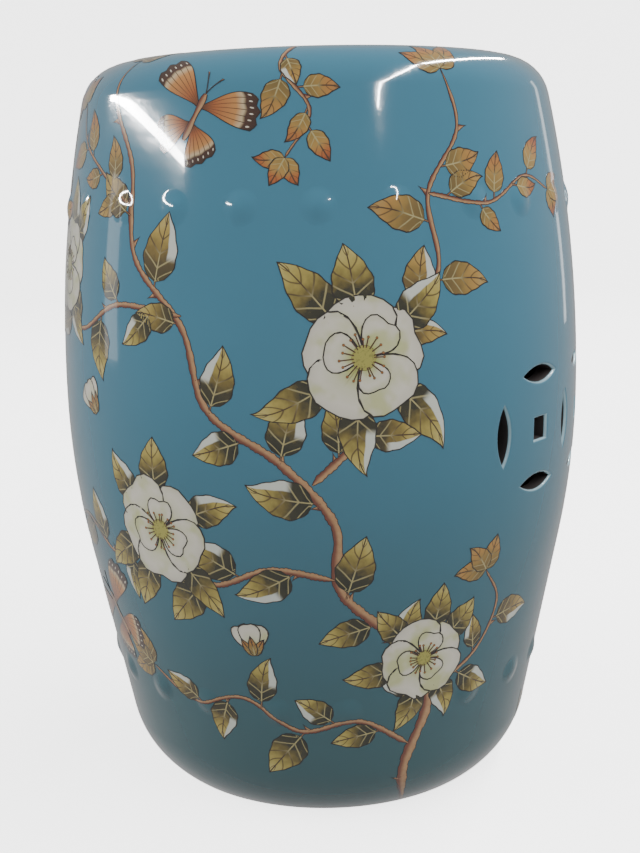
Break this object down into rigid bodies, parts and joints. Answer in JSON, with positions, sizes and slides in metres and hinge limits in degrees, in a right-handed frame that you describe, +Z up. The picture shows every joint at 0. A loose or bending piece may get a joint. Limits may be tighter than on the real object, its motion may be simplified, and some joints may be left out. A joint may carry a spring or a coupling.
{
  "type": "garden stool",
  "caption": "Hollow glazed ceramic barrel stool with a flat seat, two rows of low studs and a pierced double-coin motif on opposite sides.",
  "frame": {"origin": "centre of the foot ring's underside, on the ground under the middle of the seat", "axes": "+Z up along the barrel's axis; the two pierced motifs face +X and -X"},
  "size_m": [0.33, 0.3299, 0.448],
  "materials": {
    "glaze": "glossy",
    "bare_clay": "matt"
  },
  "bodies": {
    "root": {"barrel_wall": "glaze", "seat_disc": "glaze", "base_floor": "glaze", "foot_ring": "bare_clay", "upper_studs_front": "glaze", "upper_studs_back": "glaze", "lower_studs_front": "glaze", "lower_studs_back": "glaze"}
  },
  "joints": []
}
